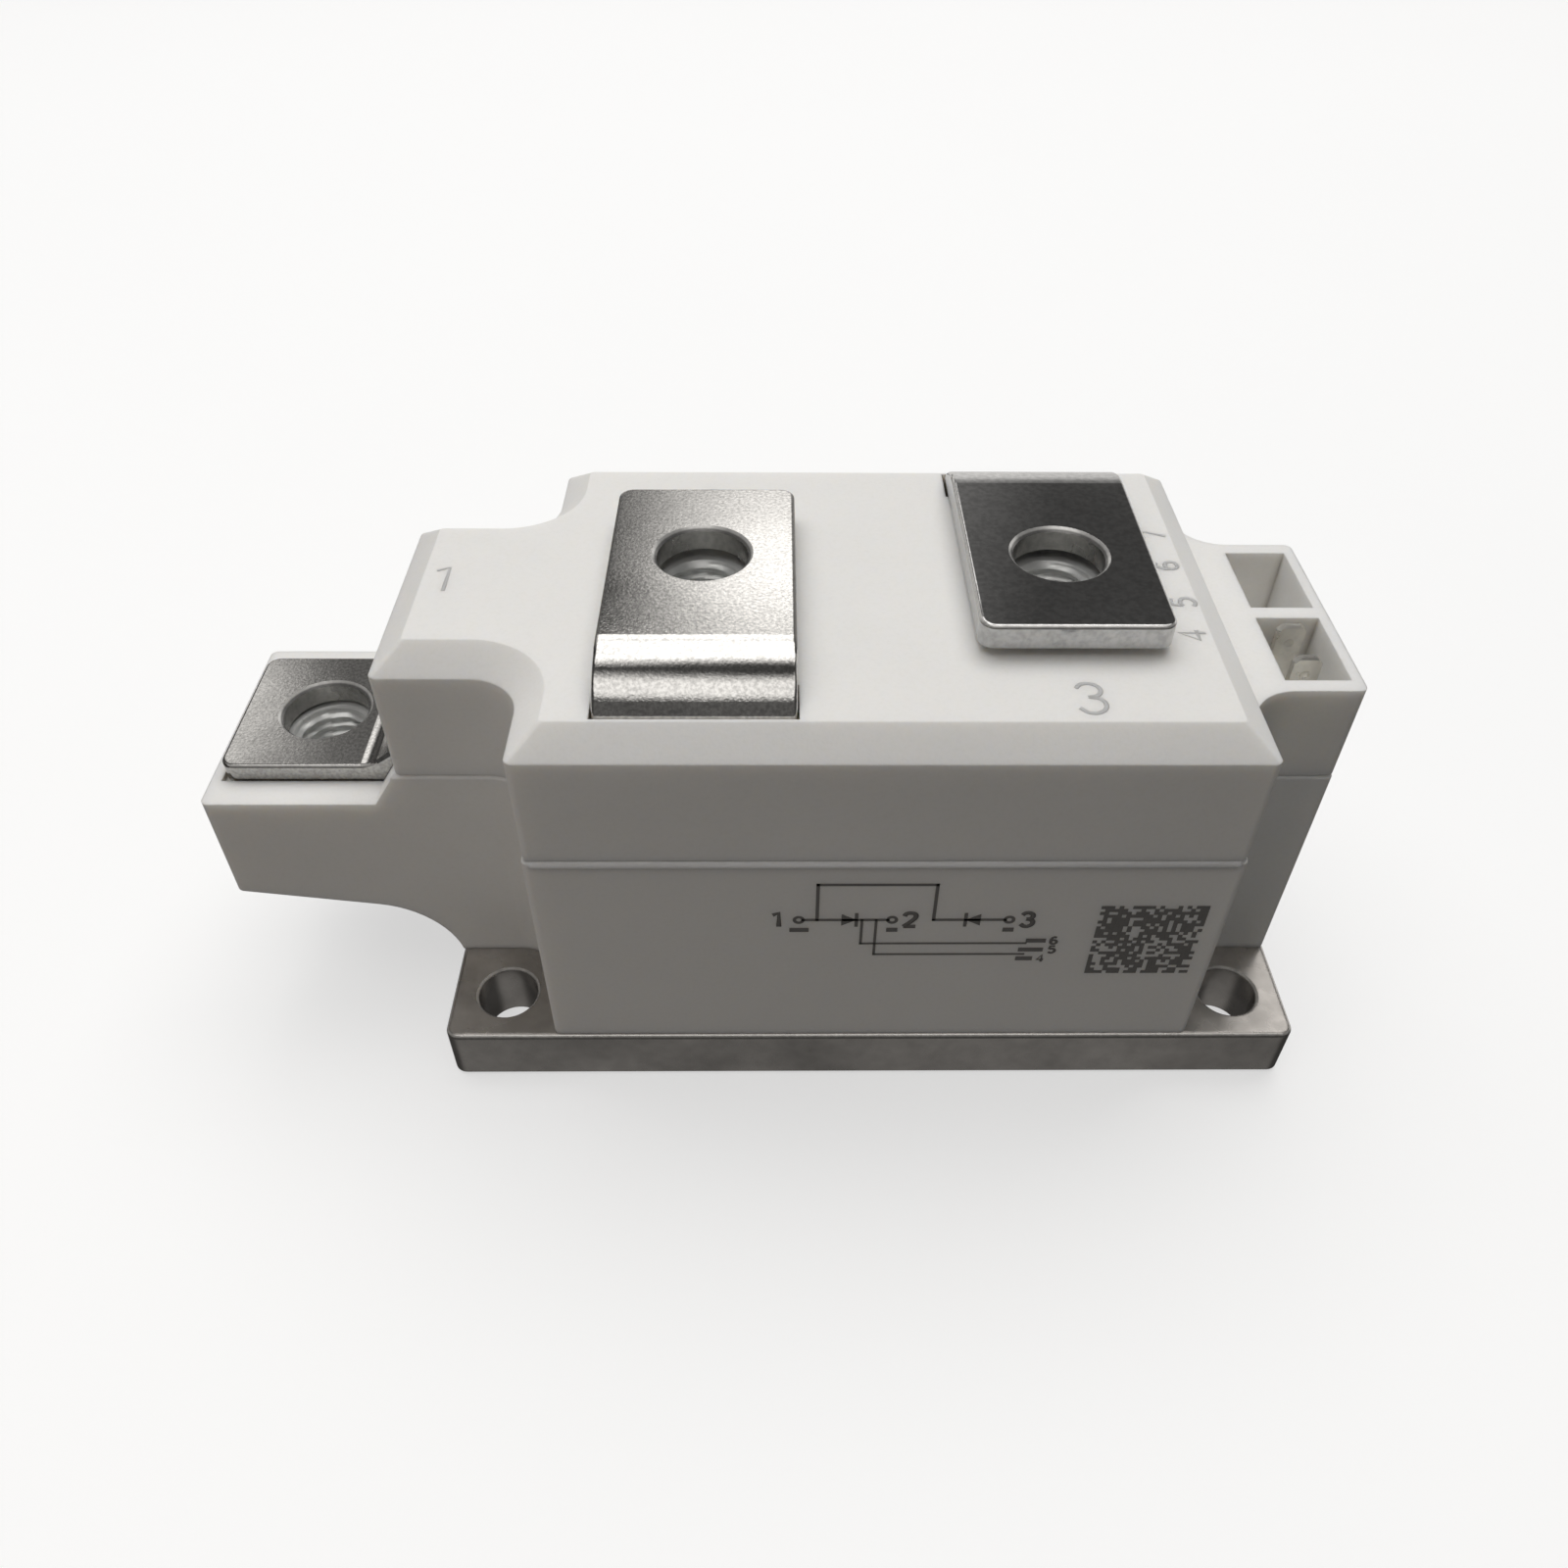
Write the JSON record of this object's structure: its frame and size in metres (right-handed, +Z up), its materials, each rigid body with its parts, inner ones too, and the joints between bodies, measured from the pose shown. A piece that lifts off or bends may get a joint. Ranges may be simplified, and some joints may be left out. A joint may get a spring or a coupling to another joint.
{
  "type": "thyristor module",
  "caption": "Oblong power semiconductor module: metal base plate with holes at the corners, pale moulded housing, screw terminals in line and sockets for push-on gate tabs.",
  "frame": {"origin": "centre of the base plate's underside", "axes": "+X along the base plate, from terminal 1's end to the gate sockets; +Z up, away from the heat sink; +Y to the back"},
  "size_m": [0.115, 0.05, 0.052],
  "materials": {
    "plated_base": "satin nickel plating on copper",
    "housing_plastic": "pale warm grey, matt moulded",
    "plated_copper": "bright satin nickel plating on copper",
    "nut_steel": "zinc-plated steel",
    "tab_metal": "tin-plated brass",
    "white_ceramic": "white sintered ceramic",
    "zinc_steel": "zinc-plated steel",
    "spring_steel": "blackened spring steel",
    "insulating_tube": "natural insulating plastic",
    "lead_sleeve": "insulated wire",
    "bright_pin": "silver-plated",
    "silicon": "polished silicon, metallised",
    "molybdenum": "lapped molybdenum"
  },
  "bodies": {
    "root": {"base_plate": "plated_base", "housing_frame": "housing_plastic", "housing_cover": "housing_plastic", "terminal_1_bar": "plated_copper", "terminal_2_bar": "plated_copper", "terminal_3_bar": "plated_copper", "terminal_1_nut": "nut_steel", "terminal_2_nut": "nut_steel", "terminal_3_nut": "nut_steel", "gate_tab": "tab_metal", "auxiliary_cathode_tab": "tab_metal", "midpoint_link": "plated_copper", "ceramic_plate_left": "white_ceramic", "ceramic_plate_right": "white_ceramic", "clamp_screws": "zinc_steel", "screw_sleeves": "insulating_tube", "gate_pin": "bright_pin", "gate_bush": "insulating_tube", "gate_lead": "lead_sleeve", "auxiliary_cathode_lead": "lead_sleeve", "diode_pellet": "silicon", "thyristor_pellet": "silicon", "upper_disc_left": "molybdenum", "upper_disc_right": "molybdenum", "lower_disc_left": "molybdenum", "lower_disc_right": "molybdenum", "pressure_insulator_left": "insulating_tube", "pressure_insulator_right": "insulating_tube", "pressure_disc_left": "zinc_steel", "pressure_disc_right": "zinc_steel", "disc_springs_left": "spring_steel", "disc_springs_right": "spring_steel", "clamp_bridge_left": "zinc_steel", "clamp_bridge_right": "zinc_steel"}
  },
  "joints": []
}
